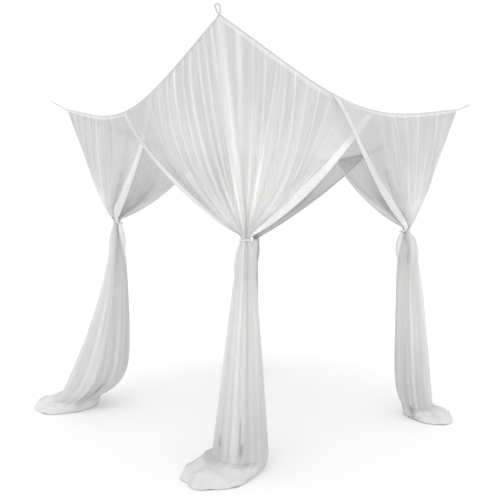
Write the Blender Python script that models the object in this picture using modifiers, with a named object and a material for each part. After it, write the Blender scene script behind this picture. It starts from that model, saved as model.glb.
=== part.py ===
"""Mosquito net canopy for a bed: a slack net roof hung by its four corners, a curtain round each
corner tied in at mid height and left to lie on the floor, and the trim that joins and hangs them.

The origin is on the floor under the middle. +X runs from the front corner to the right corner,
+Y from the front corner to the left corner, and +Z is up. Each corner has its own flat
coordinates: "a" runs from the corner along the side that is next counter-clockwise, and "b"
along the side that is next clockwise.
"""

from collections import namedtuple

import bmesh
import bpy
import numpy as np

# Roof as it hangs
SPAN_X = 2.06
SPAN_Y = 1.84
ROOF_MIDDLE = np.array([0.065, -0.013])
HANG_HEIGHT = 2.105
SAG_X = 0.187
SAG_Y = 0.205
SLACK_ROUND = 0.38
SIDE_BOW = 0.018
ROOF_CELLS = 14

# Cloth and trim
CLOTH = 0.0012
GAP = 0.0003
BINDING_WIDTH = 0.008
BINDING_HEIGHT = 0.014
BINDING_STEPS = 36
TOP_GAP = 0.0009
ROOF_GAP = 0.0007

# Curtains
PLEATS_PER_ARM = 5
COLUMNS_PER_PLEAT = 4
LAYER_AT_TOP = 0.0022
LAYER_AT_CROSSING = 0.038
LAYER_FROM, LAYER_TO = 0.35, 0.60
LAYER_EARLY = 0.7
FOLD_UNEVEN = 0.30
UNEVEN_TURNS = 9

# Waist, where the tie holds the folds in an open ring
WAIST_RADIUS = 0.024
WAIST_PLEAT = 0.010
RING_MIDDLE = np.radians(225)
RING_HALF_TURN = np.radians(150)
SHOULDER_RISE = 0.028
SHOULDER_SPREAD = 0.010
NECK_HALF = 0.009
TIE_HEIGHT = 0.012
TIE_THICKNESS = 0.002
TIE_STEPS = 28

# Foot
FOOT_HEIGHT = 0.070
FOOT_SPREAD = 0.035
FLOOR_RISE = 0.008
FLOOR_HUMP = 0.030
TAIL_POWER = 1.5
CURL_POWER = 14
UPRIGHT_HEMS = 0.5
TWIST_FROM, TWIST_TO = 0.0, 0.9
FULL_FOLD_FOOT = 0.120

# Hanging loops
LOOP_CORD = 0.004
LOOP_EYE = 0.012
LOOP_HEEL = 0.8
LOOP_ARC_STEPS = 9

# How far each curtain runs along its two sides, where it is tied and how strongly its lines bow
Corner = namedtuple("Corner", "name turn cover_a cover_b tie_a tie_b tie_z bow leg loop")
# Its leg down to the foot: how wide it gets, how it leans and turns, how far its open side curls
# under, and the tail that trails on the floor. Angles in degrees
Leg = namedtuple("Leg", "foot flare lean lean_power twist curl tail_angle tail")
# Its hanging loop
Loop = namedtuple("Loop", "length rise")
CORNERS = [
    Corner("front", 0, 1.15, 0.95, 0.377, 0.267, 1.160, 1.0,
           Leg(0.138, 1.00, 0.03, 1.0, 0, 0.00, 180, 0.17), Loop(0.06, 10)),
    Corner("right", 1, 1.07, 1.32, 0.202, 0.314, 1.251, 1.0,
           Leg(0.103, 0.45, 0.085, 0.6, -35, 0.06, 282, 0.092), Loop(0.08, 25)),
    Corner("back", 2, 1.20, 1.09, 0.417, 0.181, 1.202, 0.6,
           Leg(0.100, 0.80, 0.05, 0.5, 0, 0.00, 95, 0.12), Loop(0.09, 25)),
    Corner("left", 3, 1.21, 1.15, 0.251, 0.279, 1.296, 1.0,
           Leg(0.180, 1.00, 0.20, 2.0, 35, 0.20, 145, 0.1265), Loop(0.12, 30)),
]
SIDES = ["front_right", "back_right", "back_left", "front_left"]

# How a line of cloth falls from the top edge to the waist, by its place from the corner (0) to
# the hem (1): the shares of its reach and drop at the two control points of its curve
Fall = namedtuple("Fall", "place reach1 drop1 reach2 drop2")
FALLS = [
    Fall(0.00, 0.30, 0.34, 0.34, 0.26),
    Fall(0.25, 0.06, 0.56, 0.46, 0.18),
    Fall(0.50, 0.04, 0.58, 0.48, 0.15),
    Fall(0.78, 0.26, 0.41, 0.41, 0.20),
    Fall(1.00, 0.28, 0.40, 0.40, 0.21),
]

# Rows of the curtain from the top edge down: the zone, the share of that zone, the fold depth
Row = namedtuple("Row", "zone share fold")
ROWS = [
    Row("drape", 0.00, 0.000),
    Row("drape", 0.06, 0.003),
    Row("drape", 0.22, 0.008),
    Row("drape", 0.40, 0.010),
    Row("drape", 0.57, 0.011),
    Row("drape", 0.73, 0.012),
    Row("drape", 0.87, 0.009),
    Row("drape", 1.00, 0.006),
    Row("neck", 0.00, WAIST_PLEAT),
    Row("neck", 1.00, WAIST_PLEAT),
    Row("leg", 0.10, 0.012),
    Row("leg", 0.32, 0.014),
    Row("leg", 0.62, 0.015),
    Row("leg", 0.82, 0.015),
    Row("leg", 0.93, 0.014),
    Row("leg", 1.00, 0.013),
    Row("floor", 0.25, 0.010),
    Row("floor", 0.60, 0.009),
    Row("floor", 1.00, 0.006),
]


def smooth(value, low, high):
    """0 below low, 1 above high, and a smooth step between them."""
    share = np.clip((value - low) / (high - low), 0, 1)
    return share * share * (3 - 2 * share)


def side_axes(turn):
    """Unit vectors of a corner's a and b directions."""
    along_a = np.array([(1, 0), (0, 1), (-1, 0), (0, -1)][turn], float)
    return along_a, np.array([-along_a[1], along_a[0]])


def side_span(direction):
    return SPAN_X if abs(direction[0]) > 0.5 else SPAN_Y


def side_sag(direction):
    return SAG_X if abs(direction[0]) > 0.5 else SAG_Y


def corner_point(turn):
    along_a, along_b = side_axes(turn)
    return ROOF_MIDDLE - along_a * side_span(along_a) / 2 - along_b * side_span(along_b) / 2


def to_world(turn, a, b, z):
    along_a, along_b = side_axes(turn)
    flat = corner_point(turn) + np.multiply.outer(a, along_a) + np.multiply.outer(b, along_b)
    return np.concatenate([flat, np.broadcast_to(z, a.shape)[..., None]], axis=-1)


def slack(share):
    """A parabola, 0 at both ends and 1 at the middle."""
    return 4 * share * (1 - share)


def edge_slack(share):
    """As slack, but straighter near the ends, where the loops pull."""
    return (1 - SLACK_ROUND) * slack(share) + SLACK_ROUND * np.sin(np.pi * share) ** 2


def edge_height(direction, distance):
    """Height of the sagging edge at a distance from its corner."""
    return HANG_HEIGHT - side_sag(direction) * edge_slack(distance / side_span(direction))


def edge_bow(direction, distance):
    return SIDE_BOW * slack(distance / side_span(direction))


def new_object(name, verts, faces, material, thickness=0.0):
    mesh = bpy.data.meshes.new(name)
    mesh.from_pydata([tuple(v) for v in verts], [], [tuple(f) for f in faces])
    mesh.materials.append(material)
    mesh.shade_smooth()
    obj = bpy.data.objects.new(name, mesh)
    canopy.objects.link(obj)
    if thickness:
        shell = obj.modifiers.new("Cloth", "SOLIDIFY")
        shell.thickness = thickness
        shell.offset = 0
    return obj


def grid_faces(rows, columns, closed=False):
    """Quads of a grid of points, numbered row by row."""
    i, j = np.meshgrid(np.arange(rows - 1), np.arange(columns if closed else columns - 1), indexing="ij")
    k = (j + 1) % columns
    quads = np.stack([i * columns + j, i * columns + k, (i + 1) * columns + k, (i + 1) * columns + j], -1)
    return quads.reshape(-1, 4)


def make_material(name, colour, roughness):
    material = bpy.data.materials.new(name)
    material.use_nodes = True
    shader = material.node_tree.nodes["Principled BSDF"]
    shader.inputs["Base Color"].default_value = (*colour, 1)
    shader.inputs["Roughness"].default_value = roughness
    shader.inputs["Metallic"].default_value = 0
    return material


def make_roof():
    """The net panel, in shares s and t of the spans: each edge sags, and the middle by both."""
    inset = BINDING_WIDTH / 2 + ROOF_GAP
    shares = np.linspace(0, 1, ROOF_CELLS + 1)
    t, s = np.meshgrid(shares, shares, indexing="ij")
    half_x = SPAN_X / 2 - inset - SIDE_BOW * slack(t)
    half_y = SPAN_Y / 2 - inset - SIDE_BOW * slack(s)
    x = ROOF_MIDDLE[0] + (2 * s - 1) * half_x
    y = ROOF_MIDDLE[1] + (2 * t - 1) * half_y
    z = HANG_HEIGHT - SAG_X * edge_slack(s) - SAG_Y * edge_slack(t)
    verts = np.stack([x, y, z], -1).reshape(-1, 3)
    faces = grid_faces(ROOF_CELLS + 1, ROOF_CELLS + 1)
    return new_object("roof_panel", verts, faces, net, CLOTH)


def drape_rows(corner, u):
    """The sheet from its top edge to just over the tie: a cubic curve for each place u."""
    along_a, along_b = side_axes(corner.turn)
    on_a = u >= 0
    out = np.abs(u) * np.where(on_a, corner.cover_a, corner.cover_b)
    bow = np.where(on_a, edge_bow(along_a, out), edge_bow(along_b, out))
    top_a = np.where(on_a, out, bow)
    top_b = np.where(on_a, bow, out)
    top_z = np.where(on_a, edge_height(along_a, out), edge_height(along_b, out))
    top_z = top_z - BINDING_HEIGHT / 2 - TOP_GAP
    angle = RING_MIDDLE + RING_HALF_TURN * u
    shoulder = WAIST_RADIUS + SHOULDER_SPREAD
    low_a = corner.tie_a + shoulder * np.cos(angle)
    low_b = corner.tie_b + shoulder * np.sin(angle)
    low_z = corner.tie_z + SHOULDER_RISE
    place = np.abs(u)
    reach1, drop1, reach2, drop2 = (
        1 / 3 + corner.bow * (np.interp(place, [f.place for f in FALLS], column) - 1 / 3)
        for column in list(zip(*FALLS))[1:]
    )
    rows = []
    for v in (row.share for row in ROWS if row.zone == "drape"):
        w1, w2, w3 = 3 * v * (1 - v) ** 2, 3 * v * v * (1 - v), v**3
        reach = w1 * reach1 + w2 * (1 - reach2) + w3
        drop = w1 * drop1 + w2 * (1 - drop2) + w3
        layer = LAYER_AT_TOP * (1 - v) + LAYER_AT_CROSSING * slack(v**LAYER_EARLY) * (1 - v)
        layer = layer * smooth(place, LAYER_FROM, LAYER_TO)
        a = top_a + (low_a - top_a) * reach - np.where(on_a, 0, layer)
        b = top_b + (low_b - top_b) * reach + np.where(on_a, layer, 0)
        rows.append(to_world(corner.turn, a, b, top_z + (low_z - top_z) * drop))
    return rows


def leg_rows(corner, u):
    """The open ring of the neck, the leg that widens from it, and what lies on the floor."""
    along_a, along_b = side_axes(corner.turn)
    leg = corner.leg
    tail = np.radians(leg.tail_angle)
    tail_a = np.cos(tail) * along_a[0] + np.sin(tail) * along_a[1]
    tail_b = np.cos(tail) * along_b[0] + np.sin(tail) * along_b[1]
    rows = []
    for row in ROWS:
        if row.zone == "drape":
            continue
        fall = {"neck": 0.0, "leg": row.share, "floor": 1.0}[row.zone]
        lie = row.share if row.zone == "floor" else 0.0
        turned = np.radians(leg.twist) * smooth(fall, TWIST_FROM, TWIST_TO)
        angle = RING_MIDDLE + RING_HALF_TURN * u + turned
        ray_a, ray_b = np.cos(angle), np.sin(angle)
        toward_tail = np.clip((1 + ray_a * tail_a + ray_b * tail_b) / 2, 0, 1)
        curls = leg.curl > 0
        radius = WAIST_RADIUS + (leg.foot - WAIST_RADIUS) * fall**leg.flare
        radius = radius + lie * FOOT_SPREAD * np.where(curls, toward_tail, 1)
        upright = np.where(curls, UPRIGHT_HEMS * (1 - toward_tail), 0)
        away = leg.lean * fall**leg.lean_power * (1 - upright)
        away = away + leg.curl * fall**CURL_POWER * (1 - toward_tail)
        away = away + lie * leg.tail * toward_tail**TAIL_POWER
        a = corner.tie_a + radius * ray_a + away * tail_a
        b = corner.tie_b + radius * ray_b + away * tail_b
        if row.zone == "neck":
            z = corner.tie_z + NECK_HALF * (1 - 2 * row.share)
        elif row.zone == "leg":
            z = (1 - fall) * (corner.tie_z - NECK_HALF) + fall * FOOT_HEIGHT
        else:
            z = FLOOR_RISE + (FOOT_HEIGHT - FLOOR_RISE) * (1 - lie) ** 3
            z = z + FLOOR_HUMP * slack(lie) * toward_tail
        rows.append(to_world(corner.turn, a, b, z))
    return rows


def make_curtain(corner):
    steps = PLEATS_PER_ARM * COLUMNS_PER_PLEAT
    u = np.arange(-steps, steps + 1) / steps
    middle = np.array(drape_rows(corner, u) + leg_rows(corner, u))
    across = np.gradient(middle, axis=1)
    down = np.gradient(middle, axis=0)
    normal = np.cross(down, across)
    normal /= np.linalg.norm(normal, axis=-1, keepdims=True)
    tie = to_world(corner.turn, np.array([corner.tie_a]), np.array([corner.tie_b]), 0.0)[0]
    radial = middle - tie
    radial[..., 2] = 0
    radial /= np.linalg.norm(radial, axis=-1, keepdims=True)
    near_neck = np.array([row.zone == "neck" or (row.zone, row.share) == ("drape", 1) for row in ROWS])
    near_neck = near_neck.astype(float)[:, None, None]
    direction = normal * (1 - near_neck) + radial * near_neck
    uneven = 1 + FOLD_UNEVEN * np.sin(UNEVEN_TURNS * u + 2 * corner.turn)
    wave = np.cos(2 * np.pi * PLEATS_PER_ARM * u) * (1 - smooth(np.abs(u), 0.9, 0.99))
    depth = np.array([row.fold for row in ROWS])
    below = np.array([row.zone in ("leg", "floor") for row in ROWS])
    depth = np.where(below, depth * min(1.0, corner.leg.foot / FULL_FOLD_FOOT), depth)[:, None]
    wave = np.where(near_neck[..., 0] > 0.5, wave, wave * uneven)
    points = middle + direction * (depth * wave)[..., None]
    points[..., 2] = np.maximum(points[..., 2], CLOTH / 2)
    verts = points.reshape(-1, 3)
    return new_object(f"curtain_{corner.name}", verts, grid_faces(*points.shape[:2]), net, CLOTH)


def sweep(name, path, sides, ups, half_width, half_height, material):
    """A closed bar of rectangular section along a path, with flat ends."""
    ring = [(-1, -1), (1, -1), (1, 1), (-1, 1)]
    verts = np.stack([path + sides * half_width * p + ups * half_height * q for p, q in ring], 1)
    count = len(path)
    faces = [tuple(f) for f in grid_faces(count, 4, closed=True)]
    faces += [(3, 2, 1, 0), tuple(4 * (count - 1) + k for k in range(4))]
    obj = new_object(name, verts.reshape(-1, 3), faces, material)
    obj.data.shade_flat()
    return obj


def make_binding(turn):
    """The tape along one sagging side. Along X it closes the corners; along Y it fits between."""
    along, inward = side_axes(turn)
    span = side_span(along)
    if abs(along[0]) > 0.5:
        half = BINDING_WIDTH / 2
        distance = np.concatenate([[-half], np.linspace(0, span, BINDING_STEPS + 1), [span + half]])
    else:
        short = BINDING_WIDTH / 2 + GAP
        distance = np.linspace(short, span - short, BINDING_STEPS + 1)
    clipped = np.clip(distance, 0, span)
    path = to_world(turn, distance, edge_bow(along, clipped), edge_height(along, clipped))
    sides = np.broadcast_to(np.append(inward, 0.0), path.shape)
    ups = np.broadcast_to(np.array([0.0, 0.0, 1.0]), path.shape)
    return sweep(f"binding_{SIDES[turn]}", path, sides, ups, BINDING_WIDTH / 2, BINDING_HEIGHT / 2, tape)


def make_tie(corner):
    """A flat band round the waist, clear of the outermost folds."""
    radius = WAIST_RADIUS + WAIST_PLEAT + CLOTH / 2 + GAP
    band = bmesh.new()
    bmesh.ops.create_cone(
        band, segments=TIE_STEPS, radius1=radius, radius2=radius, depth=TIE_HEIGHT, cap_ends=False
    )
    mesh = bpy.data.meshes.new(f"tie_{corner.name}")
    band.to_mesh(mesh)
    band.free()
    mesh.materials.append(tape)
    obj = bpy.data.objects.new(mesh.name, mesh)
    obj.location = to_world(corner.turn, np.array([corner.tie_a]), np.array([corner.tie_b]), corner.tie_z)[0]
    canopy.objects.link(obj)
    shell = obj.modifiers.new("Tape", "SOLIDIFY")
    shell.thickness = TIE_THICKNESS
    shell.offset = 1
    return obj


def make_loop(corner):
    """A closed cord loop out of the corner: narrow at its root, a round eye at its far end."""
    along_a, along_b = side_axes(corner.turn)
    out = -(along_a + along_b) / np.sqrt(2)
    rise = np.radians(corner.loop.rise)
    ahead = np.append(out * np.cos(rise), np.sin(rise))
    aside = np.append((along_a - along_b) / np.sqrt(2), 0.0)
    root_out = BINDING_WIDTH / np.sqrt(2) + LOOP_CORD / 2 + GAP
    root = np.append(corner_point(corner.turn) + out * root_out, HANG_HEIGHT)
    turn = np.linspace(-np.pi / 2, np.pi / 2, LOOP_ARC_STEPS)
    eye = (LOOP_EYE + LOOP_CORD) / 2
    heel = LOOP_CORD * LOOP_HEEL
    far_arc = np.c_[corner.loop.length - eye + eye * np.cos(turn), eye * np.sin(turn)]
    root_arc = np.c_[heel - heel * np.cos(turn), -heel * np.sin(turn)]
    route = np.concatenate([far_arc, root_arc])
    points = root + np.outer(route[:, 0], ahead) + np.outer(route[:, 1], aside)
    curve = bpy.data.curves.new(f"loop_{corner.name}", "CURVE")
    curve.dimensions = "3D"
    curve.bevel_depth = LOOP_CORD / 2
    curve.bevel_resolution = 1
    spline = curve.splines.new("POLY")
    spline.points.add(len(points) - 1)
    spline.points.foreach_set("co", np.c_[points, np.ones(len(points))].ravel())
    spline.use_cyclic_u = True
    curve.materials.append(tape)
    obj = bpy.data.objects.new(curve.name, curve)
    canopy.objects.link(obj)
    return obj


def clear_scene():
    for obj in list(bpy.data.objects):
        bpy.data.objects.remove(obj, do_unlink=True)


clear_scene()
canopy = bpy.data.collections.new("mosquito_net_canopy")
bpy.context.scene.collection.children.link(canopy)
net = make_material("white polyester net", (0.86, 0.87, 0.87), 0.75)
tape = make_material("white woven tape", (0.88, 0.88, 0.88), 0.7)
make_roof()
for turn in range(4):
    make_binding(turn)
for corner in CORNERS:
    make_curtain(corner)
    make_tie(corner)
    make_loop(corner)
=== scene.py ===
import math

import bpy
import numpy as np
from mathutils import Matrix, Vector


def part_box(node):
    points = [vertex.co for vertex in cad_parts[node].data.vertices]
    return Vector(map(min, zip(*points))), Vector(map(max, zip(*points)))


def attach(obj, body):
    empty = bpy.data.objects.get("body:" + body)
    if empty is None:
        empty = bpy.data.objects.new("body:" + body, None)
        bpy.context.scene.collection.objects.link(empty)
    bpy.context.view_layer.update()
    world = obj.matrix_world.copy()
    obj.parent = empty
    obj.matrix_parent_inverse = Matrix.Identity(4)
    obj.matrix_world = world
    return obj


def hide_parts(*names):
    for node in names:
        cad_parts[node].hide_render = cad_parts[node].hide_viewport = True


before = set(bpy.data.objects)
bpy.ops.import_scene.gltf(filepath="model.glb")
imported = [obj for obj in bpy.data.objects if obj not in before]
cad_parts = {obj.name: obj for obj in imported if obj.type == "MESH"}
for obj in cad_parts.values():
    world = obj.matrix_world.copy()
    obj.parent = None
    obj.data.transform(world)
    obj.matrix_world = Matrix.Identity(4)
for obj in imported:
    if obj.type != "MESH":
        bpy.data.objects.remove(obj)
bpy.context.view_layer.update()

# ---- sizes that the frame gives: the hung corners, the sag of each side, the four ties
tape = {"width": 0.008, "height": 0.014, "sideBow": 0.018, "slackRound": 0.38}
frontLow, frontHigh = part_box("binding_front_right")
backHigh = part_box("binding_back_left")[1]
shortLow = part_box("binding_front_left")[0]
spanX = frontHigh[0] - frontLow[0] - tape["width"]
spanY = backHigh[1] - frontLow[1] - tape["width"]
roofMiddle = np.array([frontLow[0] + frontHigh[0], frontLow[1] + backHigh[1]]) / 2
hangHeight = frontHigh[2] - tape["height"] / 2
sagX = hangHeight - frontLow[2] - tape["height"] / 2
sagY = hangHeight - shortLow[2] - tape["height"] / 2
print(f"frame: roof {spanX:.3f} x {spanY:.3f} m, hung at {hangHeight:.3f} m")


def smooth(value, low, high):
    # 0 below low, 1 above high, 3s^2 - 2s^3 of the share s between
    share = np.clip((value - low) / (high - low), 0, 1)
    return share * share * (3 - 2 * share)


def ripple(x, y, seed, slowest=1.0, fastest=4.0, waves=7):
    # sum of sines in seeded directions over the plane (x, y), scaled to run between about -1 and 1
    pick = np.random.default_rng(seed)
    total = 0.0
    for fx, fy, start in zip(
        pick.uniform(slowest, fastest, waves) * pick.choice([-1, 1], waves),
        pick.uniform(slowest, fastest, waves),
        pick.uniform(0, 2 * np.pi, waves),
    ):
        total = total + np.sin(2 * np.pi * (fx * x + fy * y) + start)
    return total / np.sqrt(waves * 1.6)


def toLinear(hexColour):
    # sRGB hex to linear light, c/12.92 below 0.04045 and ((c + 0.055)/1.055)^2.4 above
    parts = np.array([int(hexColour[i : i + 2], 16) for i in (1, 3, 5)]) / 255
    linear = np.where(parts <= 0.04045, parts / 12.92, ((parts + 0.055) / 1.055) ** 2.4)
    return (*linear.tolist(), 1.0)


# ---- materials


def bandScale(pitchMm):
    # bands are 2 pi / 20 of a unit apart at scale 1, so this scale sets them pitchMm apart
    return 2 * math.pi / 20 * 1000 / pitchMm


def addNode(tree, kind, settings=None, **links):
    # one node: settings are its properties or input values, links feed its inputs by name
    node = tree.nodes.new(kind)
    for name, value in (settings or {}).items():
        if name in node.inputs:
            node.inputs[name].default_value = value
        elif name.startswith("input"):
            node.inputs[int(name[5:])].default_value = value
        else:
            setattr(node, name, value)
    for name, socket in links.items():
        key = name.replace("_", " ")
        target = node.inputs[int(name[5:])] if name.startswith("input") else node.inputs[key]
        tree.links.new(socket, target)
    return node


def newMaterial(name, colour, roughness, sheen):
    material = bpy.data.materials.new(name)
    material.use_nodes = True
    shader = material.node_tree.nodes["Principled BSDF"]
    shader.inputs["Base Color"].default_value = toLinear(colour)
    shader.inputs["Roughness"].default_value = roughness
    shader.inputs["IOR"].default_value = 1.5
    shader.inputs["Specular IOR Level"].default_value = 0.25
    shader.inputs["Sheen Weight"].default_value = sheen
    shader.inputs["Sheen Roughness"].default_value = 0.6
    return material, shader


netFinish = {
    "threadPaintedShade": "#B6B7B6",  # one layer, its colour darkened with painted shade
    "denseShade": "#FBFBFA",  # where layers stack and light scatters between them
    "cover": 0.64,  # share of one layer that the eye takes for cloth
    "threadPitchMm": 6.0,  # a net like this has holes of about 1.5 mm, too fine to show
    "threadContrast": 0.25,
    "streakMm": 60.0,  # widest of the fine streaks, each finer one half as wide
    "streakLengthMm": 900.0,
    "streakContrast": 0.25,
    "streakShade": 0.17,
}
# how much of a gather's own slope shades it, against the slope of the sheet under it
scatter = {"ownNormal": 0.25, "legSofter": 0.4}


def knittedPolyesterNet():
    # warp knitted polyester net: white, matt, seen through singly, and whiter where it is gathered; its
    # whiteness also carries painted light and painted shade
    look = netFinish
    material, shader = newMaterial("knitted polyester net", look["threadPaintedShade"], 0.85, 0.15)
    tree = material.node_tree
    link = tree.links.new
    cloth = addNode(tree, "ShaderNodeUVMap", {"uv_map": "clothMetres"}).outputs["UV"]
    gather = addNode(tree, "ShaderNodeAttribute", {"attribute_name": "gather"}).outputs["Fac"]
    white = addNode(tree, "ShaderNodeAttribute", {"attribute_name": "whitenessAndLight"}).outputs["Fac"]
    drawn = addNode(tree, "ShaderNodeAttribute", {"attribute_name": "streaks"}).outputs["Fac"]
    # threads: two bands of waves across the cloth, one along each way of the knit
    scale = bandScale(look["threadPitchMm"])
    bands = [
        addNode(tree, "ShaderNodeTexWave", {"wave_type": "BANDS", "bands_direction": way, "Scale": scale},
                Vector=cloth).outputs["Fac"]
        for way in ("X", "Y")
    ]
    weave = addNode(tree, "ShaderNodeMath", {"operation": "MAXIMUM"}, input0=bands[0], input1=bands[1])
    threadShare = addNode(
        tree, "ShaderNodeMapRange",
        {"To Min": 1 - look["threadContrast"], "To Max": 1 + look["threadContrast"] * 0.5},
        Value=weave.outputs[0])
    # streaks: gathers finer than the mesh carries, narrow across the cloth and long down it
    stretched = addNode(
        tree, "ShaderNodeMapping",
        {"Scale": (1000 / look["streakMm"], 1000 / look["streakLengthMm"], 1)}, Vector=cloth)
    streak = addNode(
        tree, "ShaderNodeTexNoise", {"Scale": 1.0, "Detail": 5.0, "Roughness": 0.75},
        Vector=stretched.outputs[0]).outputs["Fac"]
    # they fade where the cloth is bunched in a leg or lies on the floor
    streak = addNode(
        tree, "ShaderNodeMath", {"operation": "SUBTRACT", "input1": 0.5}, input0=streak).outputs[0]
    streak = addNode(
        tree, "ShaderNodeMath", {"operation": "MULTIPLY_ADD", "input2": 0.5},
        input0=streak, input1=drawn).outputs[0]
    streakShare = addNode(
        tree, "ShaderNodeMapRange",
        {"From Min": 0.3, "From Max": 0.7,
         "To Min": 1 - look["streakContrast"], "To Max": 1 + look["streakContrast"]},
        Value=streak)
    layers = addNode(
        tree, "ShaderNodeMath", {"operation": "MULTIPLY"}, input0=gather, input1=streakShare.outputs[0])
    layers = addNode(
        tree, "ShaderNodeMath", {"operation": "MULTIPLY"},
        input0=layers.outputs[0], input1=threadShare.outputs[0])
    # what n layers leave open is (1 - cover)^n
    opened = addNode(
        tree, "ShaderNodeMath", {"operation": "POWER", "input0": 1 - look["cover"]}, input1=layers.outputs[0])
    covered = addNode(
        tree, "ShaderNodeMath", {"operation": "SUBTRACT", "input0": 1.0, "use_clamp": True},
        input1=opened.outputs[0])
    link(covered.outputs[0], shader.inputs["Alpha"])
    whiter = addNode(
        tree, "ShaderNodeMapRange",
        {"From Min": 0.3, "From Max": 0.7, "To Min": -look["streakShade"], "To Max": look["streakShade"]},
        Value=streak)
    white = addNode(
        tree, "ShaderNodeMath", {"operation": "ADD", "use_clamp": True},
        input0=white, input1=whiter.outputs[0])
    # the colour runs from the shaded thread colour to the dense white by the whiteness, which holds painted
    # light and shade as well as the cloth's own white
    shade = addNode(
        tree, "ShaderNodeMix",
        {"data_type": "RGBA", "input6": toLinear(look["threadPaintedShade"]),
         "input7": toLinear(look["denseShade"])},
        input0=white.outputs[0])
    link(shade.outputs[2], shader.inputs["Base Color"])
    bump = addNode(tree, "ShaderNodeBump", {"Strength": 0.25, "Distance": 0.0006}, Height=weave.outputs[0])
    link(bump.outputs[0], shader.inputs["Normal"])
    return material


tapeFinish = {"ribPitchMm": 3.2}  # finer on a real tape, drawn coarse enough to show


def wovenTape(name, dark, light):
    # plain woven cotton tape: matt, with ribs across it that catch the light
    material, shader = newMaterial(name, light, 0.8, 0.2)
    tree = material.node_tree
    cloth = addNode(tree, "ShaderNodeUVMap", {"uv_map": "clothMetres"}).outputs["UV"]
    ribs = addNode(
        tree, "ShaderNodeTexWave",
        {"wave_type": "BANDS", "bands_direction": "X", "Scale": bandScale(tapeFinish["ribPitchMm"]),
         "Distortion": 0.6}, Vector=cloth)
    # painted light: each rib is coloured light on its crest and dark in its trough, as it catches the light,
    # besides its bump
    tone = addNode(
        tree, "ShaderNodeMix",
        {"data_type": "RGBA", "input6": toLinear(dark), "input7": toLinear(light)},
        input0=ribs.outputs["Fac"])
    tree.links.new(tone.outputs[2], shader.inputs["Base Color"])
    bump = addNode(tree, "ShaderNodeBump", {"Strength": 0.5, "Distance": 0.0005}, Height=ribs.outputs["Fac"])
    tree.links.new(bump.outputs[0], shader.inputs["Normal"])
    return material


net = knittedPolyesterNet()
edgeTape = wovenTape("woven cotton edge tape", "#C8C9C9", "#DADADA")
whiteRibbon = wovenTape("bleached cotton ribbon", "#D6D6D5", "#E8E8E7")


# ---- meshes


def newPiece(name, points, material, uv, attributes=None, closedAcross=False, downFirst=False):
    # a grid of points (rows, columns, 3) as quads, with its cloth metres as UV and named point
    # values. Faces point along across x down, or along down x across with downFirst
    rows, columns = points.shape[:2]
    i, j = np.meshgrid(np.arange(rows - 1), np.arange(columns - (0 if closedAcross else 1)), indexing="ij")
    k = (j + 1) % columns
    here, below = i * columns, (i + 1) * columns
    quads = np.stack([here + j, here + k, below + k, below + j], -1).reshape(-1, 4)
    if downFirst:
        quads = quads[:, ::-1]
    mesh = bpy.data.meshes.new(name)
    mesh.vertices.add(rows * columns)
    mesh.vertices.foreach_set("co", points.astype(np.float32).ravel())
    mesh.loops.add(quads.size)
    mesh.loops.foreach_set("vertex_index", quads.ravel().astype(np.int32))
    mesh.polygons.add(len(quads))
    mesh.polygons.foreach_set("loop_start", np.arange(0, quads.size, 4, dtype=np.int32))
    mesh.update(calc_edges=True)
    layer = mesh.uv_layers.new(name="clothMetres")
    corners = uv.reshape(-1, 2)[quads.ravel()]
    layer.data.foreach_set("uv", corners.astype(np.float32).ravel())
    for key, values in (attributes or {}).items():
        attribute = mesh.attributes.new(key, "FLOAT", "POINT")
        attribute.data.foreach_set("value", values.astype(np.float32).ravel())
    mesh.materials.append(material)
    mesh.shade_smooth()
    mesh.validate()
    piece = bpy.data.objects.new(name, mesh)
    bpy.context.scene.collection.objects.link(piece)
    return piece


def sideAxes(turn):
    # a corner's two directions: a runs along the side next counter-clockwise, b along the other
    alongA = np.array([(1, 0), (0, 1), (-1, 0), (0, -1)][turn], float)
    return alongA, np.array([-alongA[1], alongA[0]])


def sideSize(direction):
    return (spanX, sagX) if abs(direction[0]) > 0.5 else (spanY, sagY)


def slack(share):
    # parabola, 0 at the ends and 1 in the middle
    return 4 * share * (1 - share)


def edgeSlack(share):
    # parabola mixed with sin^2, so that it leaves the corners straighter
    return (1 - tape["slackRound"]) * slack(share) + tape["slackRound"] * np.sin(np.pi * share) ** 2


def edgeHeight(direction, distance):
    span, sag = sideSize(direction)
    return hangHeight - sag * edgeSlack(distance / span)


def edgeBow(direction, distance):
    return tape["sideBow"] * slack(distance / sideSize(direction)[0])


def cornerPoint(turn):
    alongA, alongB = sideAxes(turn)
    return roofMiddle - alongA * sideSize(alongA)[0] / 2 - alongB * sideSize(alongB)[0] / 2


def toWorld(turn, a, b, z):
    alongA, alongB = sideAxes(turn)
    flat = cornerPoint(turn) + np.multiply.outer(a, alongA) + np.multiply.outer(b, alongB)
    return np.concatenate([flat, np.broadcast_to(z, a.shape)[..., None]], axis=-1)


# ---- curtains

# how a line of cloth falls from the top edge to the waist, by its place from corner (0) to hem (1)
fall = {
    "place": (0.00, 0.25, 0.50, 0.78, 1.00),
    "reachFirst": (0.30, 0.06, 0.04, 0.26, 0.28),
    "dropFirst": (0.34, 0.56, 0.58, 0.41, 0.40),
    "reachLast": (0.34, 0.46, 0.48, 0.41, 0.40),
    "dropLast": (0.26, 0.18, 0.15, 0.20, 0.21),
}
waist = {
    "radius": 0.024, "pleat": 0.0046, "neckHalf": 0.009,
    "ringMiddle": 225, "drapeTurn": 112, "neckTurn": 188, "legTurn": 188, "lap": 0.02,  # turns in degrees
    "shoulderRise": 0.028, "shoulderSpread": 0.010, "puff": 0.013,
}
foot = {
    "height": 0.070, "spread": 0.035, "under": 0.030, "floorRise": 0.012, "hump": 0.018,
    "rimStarts": 0.50, "rimFoot": 0.003, "swirl": 0.006, "tailPower": 1.5, "settle": 1.8,
    "curlPower": 14, "uprightHems": 0.5, "twistDone": 0.35, "crumple": 0.006, "finer": 0.0045,
}
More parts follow.
